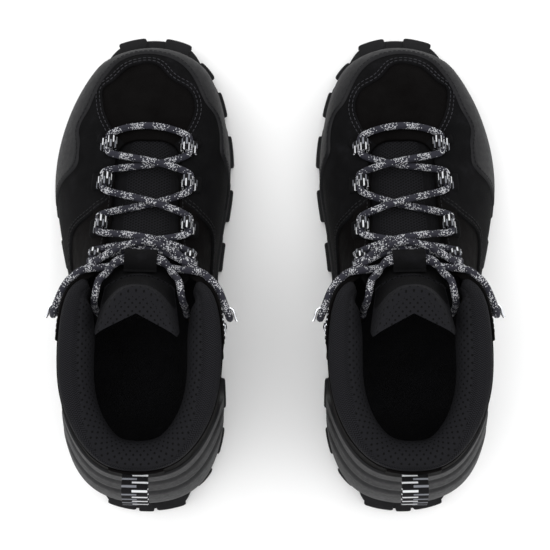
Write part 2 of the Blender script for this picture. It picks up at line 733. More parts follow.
def fibreboard():
    """Pressed cellulose board: pale brown with short fibres."""
    f = Finish("cellulose_board_pressed", "#7a6a50", 0.9)
    f.paint(f.noise(2, 5, 0.7), (0.3, "#6a5b44"), (0.7, "#8a7a5e"))
    f.bump(f.noise(0.8, 3, 0.6), 0.05)
    return f.material


def aglet_film():
    """Acetate film, heat-set round the lace's end: glossy and nearly black."""
    f = Finish("acetate_film_tip", "#101012", 0.25, Specular_IOR_Level=0.5)
    f.bump(f.noise(2, 2, 0.5), 0.02)
    return f.material


# ---- sole ----

ROUND = np.linspace(0, TURN, 361)[:-1]


def sole_ring(t, out, height):
    """The foot line moved out by out, at a height given by how far forward it is."""
    p = foot(t)
    z = height(MIDDLE - p[:, 1])
    q = p + outwards(t) * np.broadcast_to(out, t.shape)[:, None]
    q[:, 2] = z
    return q


def ladder(build, ring, flip, slot=0, crown=None):
    """A closed outline filled by rows that run straight across the boot."""
    n = len(ring)
    i = np.arange(n // 2 + 1)
    w = np.linspace(0, 1, 13)[None, :, None]
    p = mix(ring[i][:, None], ring[(n - i) % n][:, None], w)
    if crown is not None:
        p[..., 2] += crown(p, w[..., 0])
    build.grid(p, p[..., :2], flip=flip, slot=slot)


def sole_body(build, rows, crown=None, slot=0, top_slot=0):
    """A closed body from outlines, lowest first: each row is its margin and its height."""
    rings = np.stack([sole_ring(ROUND, out, height) for out, height in rows], 1)
    build.grid(rings, wrap=(True, False), slot=slot)
    ladder(build, rings[:, 0], True, slot)
    ladder(build, rings[:, -1], False, top_slot, crown)


def fillet(polygons, reach, steps_=3):
    """Polygons (n, k, 2) with every corner replaced by a Bezier arc that starts reach before it."""
    before = np.roll(polygons, 1, 1) - polygons
    after = np.roll(polygons, -1, 1) - polygons
    shorter = np.minimum(np.linalg.norm(before, axis=-1), np.linalg.norm(after, axis=-1))
    cut = np.minimum(reach, 0.45 * shorter)
    a = polygons + unit(before) * cut[..., None]
    b = polygons + unit(after) * cut[..., None]
    k = np.linspace(0, 1, steps_)[None, None, :, None]
    arcs = (1 - k) ** 2 * a[:, :, None] + 2 * k * (1 - k) * polygons[:, :, None] + k ** 2 * b[:, :, None]
    return arcs.reshape(len(polygons), -1, 2)


def blocks(build, plans, levels, round_=1.6):
    """Moulded blocks. Each level is how far the outline grows and its height above the ground line."""
    plans = fillet(plans, round_)
    middle = plans.mean(1, keepdims=True)
    away = unit(plans - middle)
    rings = []
    for grow, height in levels:
        plan = plans + away * grow
        z = ground_lift(MIDDLE - plan[..., 1]) + height
        rings.append(np.concatenate([plan, z[..., None]], -1))
    root, last = rings[0].mean(1, keepdims=True), rings[-1].mean(1, keepdims=True)
    rings = np.stack(rings, 1)
    count, rows, k = rings.shape[:3]
    points = np.concatenate([rings.reshape(count, -1, 3), last, root], 1)
    j = np.arange(k)
    row = np.arange(rows - 1)[:, None]
    sides = np.stack([row * k + j, row * k + (j + 1) % k, (row + 1) * k + (j + 1) % k, (row + 1) * k + j], -1)
    caps = np.stack([(rows - 1) * k + j, (rows - 1) * k + (j + 1) % k, np.full(k, rows * k)], -1)
    roots = np.stack([(j + 1) % k, j, np.full(k, rows * k + 1)], -1)
    step = (np.arange(count) * points.shape[1])[:, None, None]
    build.add(points.reshape(-1, 3), (sides.reshape(-1, 4)[None] + step).reshape(-1, 4),
              (np.concatenate([caps, roots])[None] + step).reshape(-1, 3))


def rim_plans(half, margin, depth, centres):
    """Outlines of the blocks round the rim: an outer and an inner arc each, seen from above."""
    k = np.linspace(-half, half, 5)
    t = centres[:, None] + k
    p = foot(t)[..., :2]
    o = outwards(t)[..., :2]
    margin = np.broadcast_to(margin, centres.shape)[:, None, None]
    outer = p + o * margin
    inner = (p + o * (LUG_MARGIN - depth))[:, ::-1]
    return np.concatenate([outer, inner], 1)


def outsole(build):
    ground = lambda lift: (lambda s: ground_lift(s) + lift)
    from_toe = np.minimum(ROUND, TURN - ROUND)
    rear = np.abs(ROUND - HEEL)
    bumper = OUTSOLE_MARGIN + TOE_BUMPER * smooth(from_toe, 1.5, 0.6) + HEEL_BUMPER * smooth(rear, 1.2, 0.7)
    sole_body(build, [
        (bumper - 1.0, ground(LUG_HEIGHT)),
        (bumper - 0.3, ground(LUG_HEIGHT + 0.2)),
        (bumper, ground(LUG_HEIGHT + 0.8)),
        (bumper + 0.1, ground(LUG_HEIGHT + OUTSOLE_SHEET - 0.6)),
        (bumper - 0.4, ground(LUG_HEIGHT + OUTSOLE_SHEET)),
    ])
    climb = [(-0.4, LUG_HEIGHT + 2.3), (0.1, LUG_HEIGHT + 1.2), (0.0, 0.9), (-0.35, 0.25), (-0.9, 0.0)]
    centres = np.arange(TURN) + 0.5
    centres = centres[np.abs(centres - HEEL) > 0.4]
    toe = np.minimum(centres, TURN - centres)
    rear = np.abs(centres - HEEL)
    margin = mix(TOE_LUG_MARGIN, LUG_MARGIN, smooth(toe, 0.5, 1.7)) + 6.6 * smooth(rear, 1.6, 0.7)
    blocks(build, rim_plans(0.3, margin, 13, centres), climb)
    blocks(build, rim_plans(0.15, HEEL_LUG_MARGIN - 0.6, 14, np.array([float(HEEL)])), climb, 3)
    low = [(0.3, LUG_HEIGHT + 1.0), (0.3, LUG_HEIGHT - 0.2), (0.0, 0.8), (-0.3, 0.2), (-0.9, 0.0)]
    bars, ribs = [], []
    for row in (254, 230, 206, 182, 88, 62):
        s, reach = row * ALONG, (29 if row > 130 else 22) * ACROSS
        for sign in (1, -1):
            plan = np.array([[3, s + 6], [reach, s - 1], [reach, s - 9], [3, s - 2]])
            plan[:, 0] *= sign
            bars.append(plan if sign > 0 else plan[::-1])
    for s in np.arange(108, 170, 9.0) * ALONG:
        ribs.append(np.array([[-20, s + 1.6], [20, s + 1.6], [20, s - 1.6], [-20, s - 1.6]]))
    turn = lambda plans: np.stack([np.array(plans)[..., 0], MIDDLE - np.array(plans)[..., 1]], -1)
    bars, ribs = turn(bars)[:, ::-1], turn(ribs)[:, ::-1]
    blocks(build, ccw(bars), low)
    blocks(build, ccw(ribs), [(0.2, LUG_HEIGHT + 0.8), (0.2, LUG_HEIGHT - 0.6), (0, LUG_HEIGHT - 1.4),
                              (-0.5, LUG_HEIGHT - 1.7)], 1.2)


def ccw(plans):
    """The same outlines, each running anticlockwise seen from above."""
    x, y = plans[..., 0], plans[..., 1]
    area = (x * np.roll(y, -1, 1) - y * np.roll(x, -1, 1)).sum(1)
    return np.where((area > 0)[:, None, None], plans, plans[:, ::-1])


def midsole(build):
    """Moulded wall: a bead at its foot, a groove two thirds up, and flutes round the heel."""
    k = np.concatenate([[0, 0.04, 0.1], np.linspace(0.18, 0.9, 15), [0.96, 1]])
    t = ROUND
    p = foot(t)
    s = MIDDLE - p[:, 1]
    low, high = sheet_top(s) + 0.1, sole_top(s) - 0.1
    edge_in = 1.3 * (1 - np.sqrt(np.maximum(0, 1 - (1 - np.clip(k / 0.1, 0, 1)) ** 2)))
    edge_in = edge_in + 1.6 * smooth(k, 0.8, 1) ** 2
    groove = 0.9 * np.exp(-((k - 0.66) / 0.045) ** 2)
    heel = smooth(np.abs(t - HEEL), 5.6, 3.4)
    wave = np.sin(2 * math.pi * (t[:, None] * 1.6 + k[None] * 1.2))
    low_part = (smooth(k, 0.1, 0.2) * smooth(k, 0.6, 0.5))[None]
    flute = 0.5 * heel[:, None] * np.clip(wave * 1.6, -1, 1) * low_part
    fore = smooth(np.abs(t - HEEL), 5.6, 7.0)[:, None]
    facet = 0.45 * fore * np.clip(3 * np.sin(2 * math.pi * (t[:, None] * 1.0 - k[None] * 0.9)), -1, 1)
    facet = facet * (smooth(k, 0.1, 0.2) * smooth(k, 0.58, 0.48))[None]
    out = MIDSOLE_FLARE - edge_in[None] - groove[None] + flute + facet
    rings = p[:, None] + outwards(t)[:, None] * out[..., None]
    rings[..., 2] = mix(low[:, None], high[:, None], k[None])
    build.grid(rings, wrap=(True, False))
    ladder(build, rings[:, 0], True)
    ladder(build, rings[:, -1], False)


def footbed(build):
    base = GAP + BOARD + GAP
    edge_ = -INSIDE_WALL - FOOTBED_EASE - 1.2 - 5 * smooth(np.abs(ROUND - HEEL), 3.5, 1.0)

    def cup(p, w):
        return -2.6 * (1 - (2 * w - 1) ** 4) * np.ones(p.shape[:2])
    sole_body(build, [
        (edge_ - 1.2, lambda s: sole_top(s) + base),
        (edge_ - 0.2, lambda s: sole_top(s) + base + 0.6),
        (edge_, lambda s: sole_top(s) + base + FOOTBED * 0.7),
        (edge_ - 0.3, lambda s: sole_top(s) + base + FOOTBED * 1.0),
        (edge_ - 1.2, lambda s: sole_top(s) + base + FOOTBED * 1.1),
        (edge_ - 2.6, lambda s: sole_top(s) + base + FOOTBED * 1.05),
    ], cup)


# ---- upper ----

SEAM = 3.6


def level(v):
    """The same v at every station."""
    return lambda t: v + 0 * np.asarray(t, float)


hem, full = level(0.006), level(1.0)


def through(stations, values):
    """A smooth curve through values given at stations, held at its two ends."""
    stations, values = np.array(stations, float), np.array(values, float)
    curve = spline(np.stack([stations, values], 1))
    fine = curve(np.linspace(0, len(stations) - 1, 600))
    order = np.maximum.accumulate(fine[:, 0])
    return lambda t: np.interp(t, order, fine[:, 1])


# v of the rand's top edge: inner side, toe, outer side.
rand_top = through(
    [-4.62, -4.2, -3.82, -3.6, -3.3, -2.7, -1.92, -1.25, -0.72, -0.32, 0.08, 0.43, 0.83, 1.15, 1.55, 2.23,
     2.83, 3.15, 3.48, 3.85, 4.2, 4.62],
    [0.06, 0.14, 0.315, 0.43, 0.49, 0.45, 0.52, 0.42, 0.305, 0.26, 0.235, 0.23, 0.27, 0.35, 0.425, 0.53,
     0.525, 0.585, 0.62, 0.575, 0.36, 0.08])


def clip_top(t):
    """v of the heel cup's top edge: nearly at the collar behind, falling away along both sides."""
    a = np.abs(t - HEEL)
    return 0.9 - 0.07 * smooth(a, 0, 1.2) - 0.6 * smooth(a, 1.7, 3.72)


# v of the scalloped edge of the toe window: inner side, toe, outer side.
window = through(
    [-2.1, -1.88, -1.74, -1.66, -1.56, -1.38, -1.1, -0.72, -0.4, -0.17, 0.12, 0.5, 0.78, 1.12, 1.47, 1.6,
     1.67, 1.77, 1.88, 2.1],
    [1.0, 0.9, 0.795, 0.7, 0.63, 0.57, 0.535, 0.53, 0.48, 0.4, 0.365, 0.375, 0.415, 0.47, 0.475, 0.53,
     0.6, 0.69, 0.83, 1.0])


def flex(t, v):
    """Shallow creases across the toes' bend, running round the boot."""
    a = np.abs(t)
    where = np.exp(-((a - 3.6) / 1.3) ** 2) * smooth(v, 0.3, 0.6)
    return 0.35 * where * np.sin(9 * t + 14 * v) * np.sin(5 * v + 1.3 * t)


def soft_relief(t, v):
    """The gentle lumps of a hand-lasted panel: a few slow sines round and up it."""
    return 0.18 * np.sin(3.1 * t + 4 * v) * np.sin(7 * v - 1.7 * t) + flex(t, v)


def add_panel(build, *args, slot=0, back_slot=None, **kw):
    face, back, uv, _, _ = panel(*args, **kw)
    build.grid(face, uv, slot=slot)
    build.grid(back, uv, slot=slot if back_slot is None else back_slot, flip=True)
    pairs = ((face[0], back[0], True), (face[-1], back[-1], False),
             (face[:, 0], back[:, 0], False), (face[:, -1], back[:, -1], True))
    for f, b, way in pairs:
        build.grid(np.stack([f, b], 0), slot=slot, flip=way)


def shell(build, t0, t1, out, inn, along=2.5, v1=full):
    """A wall of the upper between two seams: leather outside, lining inside, its top edge rolled."""
    add_panel(build, t0, t1, hem, v1, inn, out - inn, along=along, up=2.5, radius=1.1,
              relief=soft_relief, round_ends=False, back_slot=1)


def both_sides(build, t0, t1, *args, **kw):
    """The same panel on the outer and on the inner side."""
    add_panel(build, t0, t1, *args, **kw)
    add_panel(build, -t1, -t0, *args, **kw)


# ---- sewing ----

def surface_line(t, v, inset=0.0):
    """Dense (t, v) along a line on the upper, moved sideways over the surface by inset."""
    t, v = np.asarray(t, float), np.asarray(v, float)
    if not inset:
        return t, v
    p = upper(t, v)
    du = (upper(t + 0.01, v) - upper(t - 0.01, v)) / 0.02
    lo, hi = np.maximum(0, v - 0.01), np.minimum(1, v + 0.01)
    dv = (upper(t, hi) - upper(t, lo)) / (hi - lo)[:, None]
    tangent = unit(np.gradient(p, axis=0))
    side = np.cross(upper_normal(t, v), tangent)
    a, b, c = (du * du).sum(1), (du * dv).sum(1), (dv * dv).sum(1)
    x, y = (side * du).sum(1), (side * dv).sum(1)
    det = a * c - b * b
    return t + inset * (c * x - b * y) / det, v + inset * (a * y - b * x) / det


def walk(points, pitch):
    """Places every pitch along a polyline, as positions and as fractional indexes."""
    run = np.concatenate([[0], np.cumsum(np.linalg.norm(np.diff(points, axis=0), axis=-1))])
    stops_ = np.arange(pitch / 2, run[-1], pitch)
    return np.interp(stops_, run, np.arange(len(points)))


def capsules(build, centre, tangent, normal, length, radius, slot=0):
    """Short rounded rods for stitches, all from one template of six sides and five rings."""
    a = np.array([-1, -0.86, 0, 0.86, 1]) * length / 2
    r = np.array([0.15, 0.8, 1.0, 0.8, 0.15]) * radius
    angle = np.linspace(0, 2 * math.pi, 6, endpoint=False)
    side = np.cross(normal, tangent)
    ring = (np.cos(angle)[None, None, :, None] * side[:, None, None]
            + np.sin(angle)[None, None, :, None] * normal[:, None, None])
    p = (centre[:, None, None] + tangent[:, None, None] * a[None, :, None, None]
         + ring * r[None, :, None, None])
    n = len(centre)
    k, rows = 6, 5
    j = np.arange(k)
    row = np.arange(rows - 1)[:, None]
    faces = np.stack([row * k + j, (row + 1) * k + j, (row + 1) * k + (j + 1) % k, row * k + (j + 1) % k], -1)
    ends = np.stack([j, (rows - 1) * k + j[::-1]])
    step = (np.arange(n) * rows * k)[:, None, None]
    flat = p.reshape(-1, 3)
    build.add(flat, (faces.reshape(-1, 4)[None] + step).reshape(-1, 4), (ends[None] + step).reshape(-1, k),
              slot=slot)


def stitch(build, t, v, out, length=2.1, pitch=3.0, radius=0.3, slot=0):
    """Lock stitches along a line on the upper, standing out of its surface by out."""
    points = off_upper(t, v, out)
    normals = upper_normal(t, v)
    tangents = unit(np.gradient(points, axis=0))
    at = walk(points, pitch)
    pick = lambda a: np.stack([np.interp(at, np.arange(len(a)), a[:, i]) for i in range(3)], 1)
    capsules(build, pick(points), unit(pick(tangents)), unit(pick(normals)), length, radius, slot)


# ---- straps, hooks, lace ----

def seat(origin, x_axis, y_axis):
    y = unit(y_axis)
    z = unit(np.cross(x_axis, y))
    return origin, np.cross(y, z), y, z


def seat_point(s, a, b, c):
    origin, x, y, z = s
    return origin + x * a + y * b + z * c


def arc(x, y, radius, start, end, n):
    a = np.radians(np.linspace(start, end, n + 1))
    return np.stack([x + radius * np.cos(a), y + radius * np.sin(a)], 1)


def refine(points, step):
    """Even steps of about step along a smooth cubic through points."""
    points = np.asarray(points, float)
    curve = spline(points)
    fine = curve(np.linspace(0, len(points) - 1, len(points) * 16))
    run = np.concatenate([[0], np.cumsum(np.linalg.norm(np.diff(fine, axis=0), axis=-1))])
    want = np.linspace(0, run[-1], max(3, int(run[-1] / step) + 1))
    return np.stack([np.interp(want, run, fine[:, i]) for i in range(fine.shape[1])], 1)


def strap(build, profile, width, thickness, s, slot=0, corner=0.35, widen=None):
    """A flat band whose centreline is a profile in the seat's x and y, with rounded long edges."""
    tangent = unit(np.gradient(profile, axis=0))
    normal = np.stack([-tangent[:, 1], tangent[:, 0]], 1)
    h, w = thickness / 2, width / 2
    c = min(corner, h * 0.9)
    a = np.radians(np.linspace(0, 90, 4))
    q = np.stack([w - c + c * np.sin(a), h - c + c * np.cos(a)], 1)
    top = np.stack([np.linspace(-w + c, w - c, 9)[1:-1], np.full(7, h)], 1)
    right = q
    low_right = q[::-1] * [1, -1]
    bottom = top[::-1] * [1, -1]
    low_left = q * [-1, -1]
    left = q[::-1] * [-1, 1]
    section = np.concatenate([top, right, low_right, bottom, low_left, left])
    wide = np.ones(len(profile)) if widen is None else widen
    origin, x, y, z = s
    across = section[None, :, 0] * wide[:, None]
    p2 = profile[:, None] + normal[:, None] * section[None, :, 1, None]
    p = origin + p2[..., :1] * x + p2[..., 1:] * y + across[..., None] * z
    run = np.concatenate([[0], np.cumsum(np.linalg.norm(np.diff(profile, axis=0), axis=-1))])
    v = np.append(section[:, 0], section[0, 0]) + w
    uv = np.stack(np.meshgrid(run, v, indexing="ij"), -1)
    build.grid(p, uv, wrap=(False, True), slot=slot)
    build.fan(p[0], slot=slot, flip=True)
    build.fan(p[-1], slot=slot)


RING = LACE / 2 + LACE_EASE + WEBBING / 2


def loop_seat(row, side):
    t, v = ROWS[row]
    station = side * t
    origin = off_upper(station, v, GAP + WEBBING / 2 + LOOP_LIFT)
    return seat(origin, np.array([-side, 0, 0.0]), upper_normal(station, v))


def lace_loop(build, row, side):
    ring = arc(0, RING, RING, -90, 110, 18)
    tail = np.stack([np.linspace(-6, -1, 5), np.zeros(5)], 1)
    back = np.array([[-2.2, 2 * RING - 2.6], [-3.8, WEBBING + GAP + 1.0], [-6, WEBBING + GAP]])
    body = refine(np.vstack([tail, ring[1::3], back]), 0.6)
    strap(build, body, LOOP_WIDTH, WEBBING, loop_seat(row, side))


def hook_seat(side):
    t, v = HOOK["t"], HOOK["v"]
    station = side * t
    n = upper_normal(station, v) * [1, 1, 0]
    n = unit(n)
    origin = off_upper(station, v, GAP + HOOK["thickness"] / 2 + HOOK_LIFT)
    return seat(origin, np.array([side * n[1], -side * n[0], 0]), n)


HOOK_RADIUS = HOOK["mouth"] / 2 + HOOK["thickness"] / 2


def lace_hook(build, side):
    plate = np.stack([np.linspace(-HOOK["plate"], -1, 8), np.zeros(8)], 1)
    bend = arc(0, HOOK_RADIUS, HOOK_RADIUS, -90, 90, 20)
    tip = np.array([[-HOOK["finger"] * 0.5, 2 * HOOK_RADIUS + 0.2], [-HOOK["finger"], 2 * HOOK_RADIUS + 1.0]])
    body = refine(np.vstack([plate, bend[1::3], tip]), 0.5)
    run = np.linspace(0, 1, len(body))
    widen = (0.72 + 0.28 * smooth(run, 0, 0.12) - 0.35 * smooth(run, 0.78, 1.0)
             + 0.2 * np.exp(-((run - 0.16) / 0.1) ** 2))
    s = hook_seat(side)
    strap(build, body, HOOK["width"], HOOK["thickness"], s, corner=0.6, widen=widen)
    angle = np.linspace(0, 2 * math.pi, 24, endpoint=False)
    r = np.array([2.1, 2.1, 1.7, 1.0, 0.35])[:, None]
    up = np.array([0.4, 1.0, 1.45, 1.7, 1.78])[:, None]
    centre = -HOOK["plate"] * 0.62
    dome = seat_point(s, (centre + r * np.cos(angle))[..., None], (up + 0 * angle)[..., None],
                      (r * np.sin(angle))[..., None])
    build.grid(dome, wrap=(False, True), flip=False)
    build.fan(dome[0], flip=True)
    build.fan(dome[-1])


def pull_loop(build):
    base = off_upper(np.array(float(HEEL)), np.array(PULL["v"]), GAP + 0.5)
    length, opening, droop = PULL["length"], PULL["opening"], PULL["droop"]
    points = np.array([
        [0, 0], [4, 2.2], [length * 0.38, opening * 0.52], [length * 0.66, opening * 0.25 - droop * 0.7],
        [length * 0.77, -opening * 0.35 - droop], [length * 0.66, -opening * 0.6 - droop * 0.9],
        [length * 0.36, -opening * 0.42 - droop * 0.2], [3, -WEBBING - GAP], [0, -WEBBING - GAP]])
    strap(build, refine(points, 0.8), PULL["width"], WEBBING,
          seat(base, np.array([0, 1.0, 0]), np.array([0, 0, 1.0])))


def tongue_seat(q, lift):
    ridge, along, out = tongue_axes(np.array(float(q)))
    return seat(ridge + out * lift, along, out)


CROSSINGS = [0.2, 0.33, 0.43, 0.52]
CROSSING_RISE = [0.4, 0.6, 2.6]
TAIL = [[18, 154.5, 130], [22.5, 149.5, 138.5], [24.2, 143, 142.5], [25.4, 137.5, 139], [26.4, 134, 128],
        [26.6, 131.5, 114], [26.4, 129, 100]]
keeper_seat = tongue_seat((KEEPER["from"] + KEEPER["to"]) / 2, 0)


def through_loop(row, side, way):
    return seat_point(loop_seat(row, side), 0, RING, -way * side * (LOOP_WIDTH / 2 + 2.6))


def through_hook(side, way):
    return seat_point(hook_seat(side), 0, HOOK_RADIUS, way * side * (HOOK["width"] / 2 + 3))


def on_upper(t, v):
    return off_upper(np.array(float(t)), np.array(float(v)), LACE / 2 + 2 * LACE_EASE)


def lace_half(first):
    """Half of the lace: criss-cross through four loops, round the hook, under the keeper, tucked in."""
    route = []
    over = LACE / 2 + GAP
    for row in range(len(ROWS)):
        side = first * (-1 if row % 2 else 1)
        route += [through_loop(row, side, way) for way in (1, 0, -1)]
        if row == len(ROWS) - 1:
            break
        above = (-1 if row % 2 else 1) * first
        middle = (through_loop(row, side, -1) + through_loop(row + 1, -side, 1)) / 2
        middle[0] = 0
        out = tongue_seat(CROSSINGS[row], 0)[2]
        route.append(middle + out * (above * over + CROSSING_RISE[row]))
    hook = first
    route.append(tongue_seat(CROSSINGS[3], LACE / 2 + LACE_EASE + (LACE + GAP if first > 0 else 0))[0])
    route += [on_upper(hook * a, b) for a, b in ((6.82, 1), (7.05, 0.955), (7.35, 0.915), (7.78, 0.88))]
    route += [through_hook(hook, -1), through_hook(hook, 1)]
    route += [on_upper(hook * a, b) for a, b in ((7.95, 0.95), (7.6, 0.99), (7.2, 1))]
    route.append(tongue_point(0.66, hook * 0.8, -LACE / 2 - 4 * LACE_EASE))
    bridge = LACE / 2 + LACE_EASE + KEEPER["wall"]
    lane = first * (LACE + GAP) / 2
    route += [seat_point(keeper_seat, lane, bridge, w * hook * (KEEPER["width"] / 2 + 1)) for w in (1, -1)]
    route += [np.array([-hook * u, MIDDLE - s, z]) for u, s, z in TAIL]
    return route


def lace_path():
    route = lace_half(-1)[::-1] + [on_upper(0, 0.91)] + lace_half(1)
    return refine(np.array(route), 1.6)


# ---- assembling ----

MAT = {
    "suede": suede(),
    "leather": smooth_leather(),
    "moulded": moulded_rand(),
    "rubber": outsole_rubber(),
    "foam": midsole_foam(),
    "lining": perforated_lining(),
    "mesh": spacer_mesh(),
    "chevron": chevron_knit(),
    "weave": plain_weave(),
    "loop": webbing("polypropylene_webbing_narrow", 8.0, 2.8, 0.3),
    "pull": webbing("polypropylene_webbing_broad", 15.0, 5.0, 0.26),
    "lace": braided_lace(),
    "steel": polished_steel(),
    "grey_thread": thread("polyester_thread_grey", "#2a2a2e"),
    "black_thread": thread("polyester_thread_black", "#161618"),
    "footbed": footbed_cloth(),
    "board": fibreboard(),
    "film": aglet_film(),
}


def piece(name, maker, materials, body="boot", nodes=(), sharp=40, swell=0):
    """Makes a piece for both boots, from a function that fills a Build in one boot's axes.

    A padded piece's function returns which of its points are sewn down, and swell is how far, in
    millimetres, the rest may move as it settles.
    """
    build = Build()
    sewn = maker(build)
    made = []
    for word, side in (("left", 1), ("right", -1)):
        obj = mesh_object(f"{word}_{name}", build, side, [MAT[m] for m in materials])
        if swell:
            inflate(obj, sewn, swell)
            rounding = obj.modifiers.new("rounding", "SUBSURF")
            rounding.levels = rounding.render_levels = 1
        weld(obj.data, sharp)
        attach(obj, f"{word}_{body}")
        if nodes:
            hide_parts(*[f"{word}_{n}" for n in nodes])
        made.append(obj)
    return made


piece("sole_tread", outsole, ["rubber"], nodes=["outsole"], sharp=35)
piece("sole_wedge", midsole, ["foam"], nodes=["midsole"])
piece("insole", footbed, ["footbed"], body="footbed_body", nodes=["footbed"])
piece("toe_wall", lambda b: shell(b, -SEAM, SEAM, 0, -WALL), ["leather", "lining"],
      nodes=["vamp"])
piece("outer_wall", lambda b: shell(b, SEAM, HEEL, 0, -WALL), ["leather", "lining"],
      nodes=["quarter_outer"])
piece("inner_wall", lambda b: shell(b, HEEL, TURN - SEAM, 0, -WALL), ["leather", "lining"],
      nodes=["quarter_inner"])


def inner_lining(build):
    add_panel(build, LINING_SPLIT, TURN - LINING_SPLIT, level(0.03), level(0.66),
              -INSIDE_WALL - 0.7, 0.6, along=4, up=3, radius=0.6, round_ends=False)


piece("inside_lining", inner_lining, ["lining"])
piece("last_board", lambda b: sole_body(b, [
    (-WALL - 1.2, lambda s: sole_top(s) + GAP),
    (-WALL - 1.2, lambda s: sole_top(s) + GAP + BOARD)]), ["board"], nodes=["lasting_board"])


def stiffener(build, middle, reach):
    """A board between the wall and the lining, up to half the upper's height."""
    add_panel(build, middle - reach, middle + reach, level(0.03), level(0.5), BOARD_BACK, 1.3,
              along=3, up=3, radius=0.6)


piece("toe_board", lambda b: stiffener(b, 0, 1.9), ["board"], nodes=["toe_puff"])
piece("heel_board", lambda b: stiffener(b, HEEL, 2.2), ["board"], nodes=["heel_counter"])


WING = through([4.3, 4.6, 4.75, 4.9, 5.07, 5.28, 5.65, 6.05, 6.7, 7.5, 8.4],
               [1.0, 0.97, 0.88, 0.79, 0.635, 0.5, 0.43, 0.39, 0.36, 0.32, 0.28])


def suede_top(t):
    a = np.abs(t)
    back = WING(a)
    return np.where(a < 2.1, window(t), np.where(a < 4.3, 1.0, back))


def suede_foot(t):
    return np.where(np.abs(t) < 4.4, np.maximum(rand_top(t) - 0.05, 0.02), 0.02)


def suede_overlay(build):
    add_panel(build, -8.4, 8.4, suede_foot, suede_top, 0.05, 1.2, along=1.8, up=1.8, radius=0.9,
              relief=soft_relief)


def eyestay(build):
    foot_ = lambda t: np.interp(np.abs(t), [4.0, 4.8, 6, 7.4, 8.3, 9.0], [0.84, 0.82, 0.83, 0.78, 0.72, 0.8])
    both_sides(build, 4.05, 9.0, foot_, full, 0.08, 1.0, along=1.8, up=1.5, radius=0.8)


def backstay(build):
    add_panel(build, HEEL - 0.62, HEEL + 0.62, level(0.82), full, 0.05, 1.2, along=1.5, up=2, radius=0.8)


def loop_tabs(build):
    """A padded tab of suede over the sewn ends of every lace loop."""
    for side in (1, -1):
        for t, v in ROWS:
            a, b = sorted((side * (t - 0.24), side * (t + 0.24)))
            add_panel(build, a, b, level(v - 0.15), level(v - 0.03), 0.05, 3.5, along=1.2, up=1.0,
                      radius=2.6)


piece("suede_overlay", suede_overlay, ["suede"])
piece("eyestay", eyestay, ["leather"])
piece("loop_tabs", loop_tabs, ["suede"])
piece("backstay", backstay, ["leather"])
piece("rand_band", lambda b: add_panel(b, -4.62, 4.62, hem, rand_top, 0.1, 2.55, along=1.8, up=1.2,
                                       radius=1.6),
      ["moulded"], nodes=["toe_rand"])


def clip_relief(t, v):
    """Two grooves that follow the cup's top edge, a bead along it, and a thinner wall higher up."""
    share = v / clip_top(t)
    grooves = sum(np.exp(-((share - at) / 0.022) ** 2) for at in (0.62, 0.82))
    steps_ = 0.35 * (smooth(share, 0.6, 0.56) + smooth(share, 0.8, 0.76))
    return -0.9 * grooves + steps_ - 1.7 * smooth(v, 0.4, 0.75) - 0.9 * smooth(v, 0.3, 0.1)


piece("heel_cup", lambda b: add_panel(b, HEEL - 3.72, HEEL + 3.72, hem, clip_top, 0.1, 3.1, along=1.6, up=0.8,
                                      radius=1.8, relief=clip_relief),
      ["moulded"], nodes=["heel_clip"])


# ---- collar, tongue ----

COLLAR_REACH = 4.85
COLLAR_SECTION = np.array([
    # share of the upper's height, distance in from its face, lift, share of that distance that is padding
    [0.985, 0.6, 0.2, 0], [1.0, 0.5, 1.6, 0], [1.0, 1.6, 3.7, 0.1], [1.0, 4.6, 5.4, 0.5], [1.0, 9.0, 5.2, 1],
    [0.985, 13.5, 4.2, 1], [0.955, 17.3, 3.0, 1], [0.9, 19.4, 1.4, 1], [0.84, 19.2, 0, 1], [0.77, 16.8, 0, 1],
    [0.7, 11.5, 0, 1], [0.645, 6.0, 0, 1], [0.625, 4.2, 0, 0.4], [0.64, 3.2, 0, 0], [0.75, 3.0, 0, 0],
    [0.88, 3.0, 0, 0], [0.96, 2.9, 0, 0],
])
COLLAR_AROUND = 170
COLLAR_END = 0.42
COLLAR_ACROSS = 56
FLAP_WRAP = 16
FLAP_SPREAD = 1.15


def collar_grid():
    """Section by section: rows run round the heel, columns from the outer lip over into the boot."""
    t = np.linspace(HEEL - COLLAR_REACH, HEEL + COLLAR_REACH, COLLAR_AROUND)[:, None]
    knots = spline(COLLAR_SECTION, True)(np.linspace(0, len(COLLAR_SECTION), COLLAR_ACROSS + 1)[:-1])
    share, inward, lift, soft = (knots[:, i][None] for i in range(4))
    near = np.minimum(t - HEEL + COLLAR_REACH, HEEL + COLLAR_REACH - t)
    pad = mix(0.55, 1, smooth(near, 0, 1.9))
    edge_in = -(upper_normal(t, 1.0 + 0 * t) * [1, 1, 0])
    edge_in = unit(edge_in)
    v = np.clip(share + 0 * t, 0, 1)
    wall = off_upper(t, v, -0.4)
    deep = np.where(soft > 0.05, inward * mix(1, pad, np.clip(soft, 0, 1)), inward)
    p = wall + edge_in * deep[..., None]
    p[..., 2] += lift * mix(0.75, 1, pad)
    core = p.mean(1, keepdims=True)
    return core + (p - core) * mix(0.35, 1, roll(near, COLLAR_END))[..., None], t, knots


